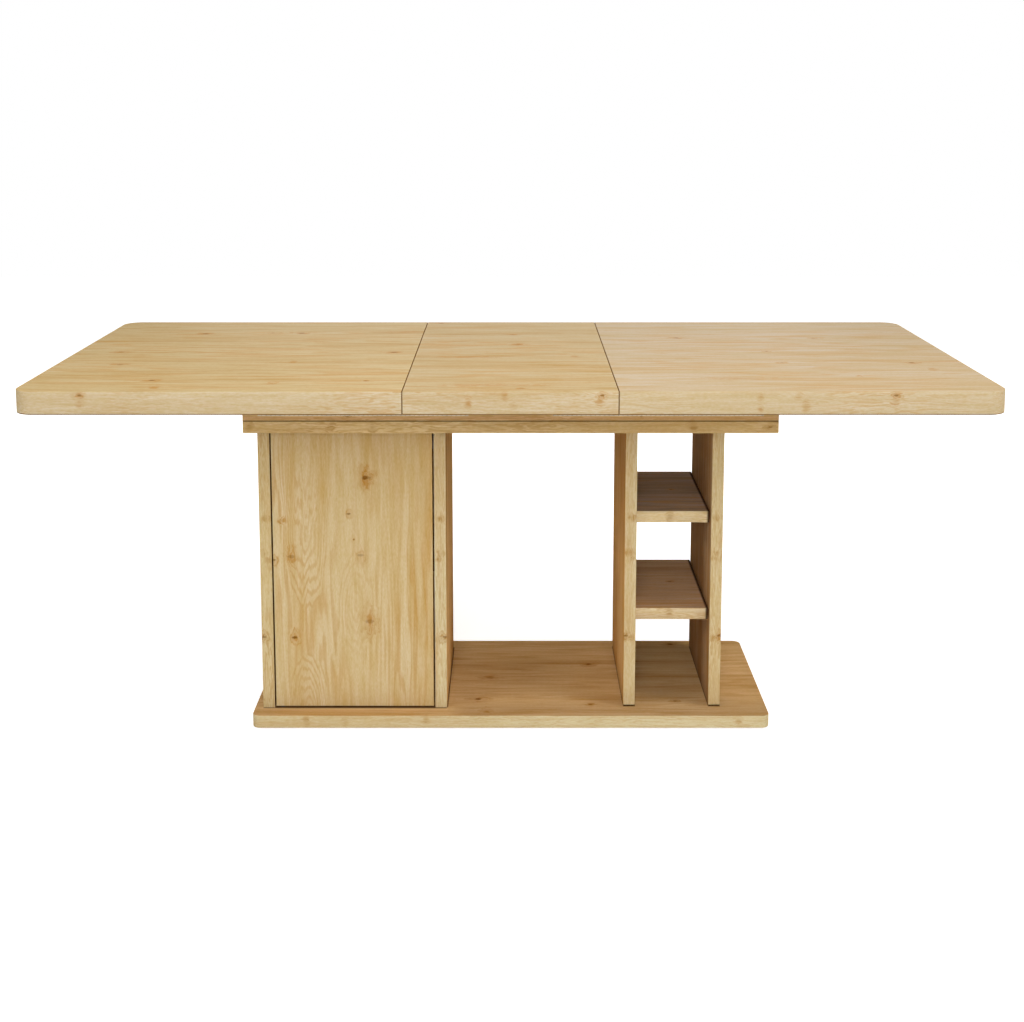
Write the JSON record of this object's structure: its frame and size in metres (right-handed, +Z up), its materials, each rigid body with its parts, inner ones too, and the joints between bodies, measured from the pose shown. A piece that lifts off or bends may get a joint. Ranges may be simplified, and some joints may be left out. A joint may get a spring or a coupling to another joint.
{
  "type": "extending kitchen table with storage cabinet",
  "caption": "Extending kitchen table whose rounded top runs on ball slides over a frame, on a pedestal of a closed cabinet with a door and a column of open shelves on one base board.",
  "frame": {"origin": "middle of the table's outline on the floor", "axes": "+X along the table, away from the cabinet; +Y away from the side that the cabinet door opens on; +Z up"},
  "size_m": [1.84, 0.8, 0.746],
  "materials": {
    "top_oak": "satin light oak decor, grain along the table",
    "door_oak": "satin light oak decor, upright grain",
    "base_oak": "satin light oak decor, grain along the board",
    "frame_oak": "satin oak decor, grain along the table",
    "panel_oak": "satin light oak decor, upright grain",
    "shelf_oak": "satin light oak decor, grain along the table",
    "back_oak": "satin light oak decor, upright grain",
    "batten_wood": "planed beech",
    "dowel_wood": "turned beech",
    "felt": "brown felt",
    "bush_plastic": "moulded, dull",
    "screw_steel": "zinc plated",
    "pin_steel": "zinc plated",
    "slide_steel": "bright zinc plated sheet",
    "cage_steel": "plain sheet",
    "ball_steel": "polished",
    "latch_plastic": "moulded, white",
    "magnet_steel": "nickel plated",
    "strike_steel": "plated disc"
  },
  "bodies": {
    "base": {"base_board": "base_oak", "floor_glides": "felt", "cabinet_outer_side": "panel_oak", "cabinet_inner_side": "panel_oak", "cabinet_back": "back_oak", "cabinet_shelf": "shelf_oak", "cabinet_shelf_pins": "pin_steel", "cabinet_back_dowels": "dowel_wood", "column_inner_side": "panel_oak", "column_outer_side": "panel_oak", "column_lower_shelf": "shelf_oak", "column_upper_shelf": "shelf_oak", "column_foot_spacers": "bush_plastic", "shelf_dowels": "dowel_wood", "panel_dowels": "dowel_wood", "base_screws": "screw_steel", "frame_board_screws": "screw_steel", "frame_screws": "screw_steel", "frame_board": "frame_oak", "frame_front_rail": "frame_oak", "frame_back_rail": "frame_oak", "frame_left_rail": "frame_oak", "frame_right_rail": "frame_oak", "leaf_pads": "felt", "slide_screws": "screw_steel", "left_front_slide_fixed": "slide_steel", "left_back_slide_fixed": "slide_steel", "right_front_slide_fixed": "slide_steel", "right_back_slide_fixed": "slide_steel", "latch_body": "latch_plastic", "latch_screws": "screw_steel", "door_pivot_bushes": "bush_plastic"},
    "left_top": {"left_top": "top_oak", "left_front_batten": "batten_wood", "left_back_batten": "batten_wood", "left_batten_screws": "screw_steel", "left_member_screws": "screw_steel", "left_front_slide_moving": "slide_steel", "left_back_slide_moving": "slide_steel"},
    "left_cages": {"left_front_ball_cage": "cage_steel", "left_back_ball_cage": "cage_steel", "left_slide_balls": "ball_steel"},
    "right_top": {"right_top": "top_oak", "right_front_batten": "batten_wood", "right_back_batten": "batten_wood", "right_batten_screws": "screw_steel", "right_member_screws": "screw_steel", "right_front_slide_moving": "slide_steel", "right_back_slide_moving": "slide_steel"},
    "right_cages": {"right_front_ball_cage": "cage_steel", "right_back_ball_cage": "cage_steel", "right_slide_balls": "ball_steel"},
    "leaf": {"centre_leaf": "top_oak", "leaf_pegs": "dowel_wood"},
    "door": {"door_panel": "door_oak", "door_pivot_pins": "pin_steel", "latch_strike": "strike_steel"},
    "plunger": {"latch_plunger": "latch_plastic", "latch_magnet": "magnet_steel"}
  },
  "joints": [
    {"name": "left_top_slide", "type": "slide", "parent": "base", "child": "left_top", "axis": [-1, 0, 0], "range_m": [0, 0.05]},
    {"name": "right_top_slide", "type": "slide", "parent": "base", "child": "right_top", "axis": [1, 0, 0], "range_m": [0, 0.05]},
    {"name": "left_cage_slide", "type": "slide", "parent": "base", "child": "left_cages", "axis": [-1, 0, 0], "range_m": [0, 0.025]},
    {"name": "right_cage_slide", "type": "slide", "parent": "base", "child": "right_cages", "axis": [1, 0, 0], "range_m": [0, 0.025]},
    {"name": "leaf_lift", "type": "slide", "parent": "base", "child": "leaf", "axis": [0, 0, 1], "range_m": [0, 0.15]},
    {"name": "door_swing", "type": "hinge", "parent": "base", "child": "door", "pos_m": [-0.471, -0.151, 0.3265], "axis": [0, 0, -1], "range_deg": [0, 110]},
    {"name": "latch_press", "type": "slide", "parent": "base", "child": "plunger", "axis": [0, 1, 0], "range_m": [0, 0.003], "stiffness_N_per_m": 800, "springref_m": -0.002}
  ],
  "couplings": [
    {"joint": "left_cage_slide", "follows": "left_top_slide", "ratio": 0.5},
    {"joint": "right_cage_slide", "follows": "right_top_slide", "ratio": 0.5}
  ]
}
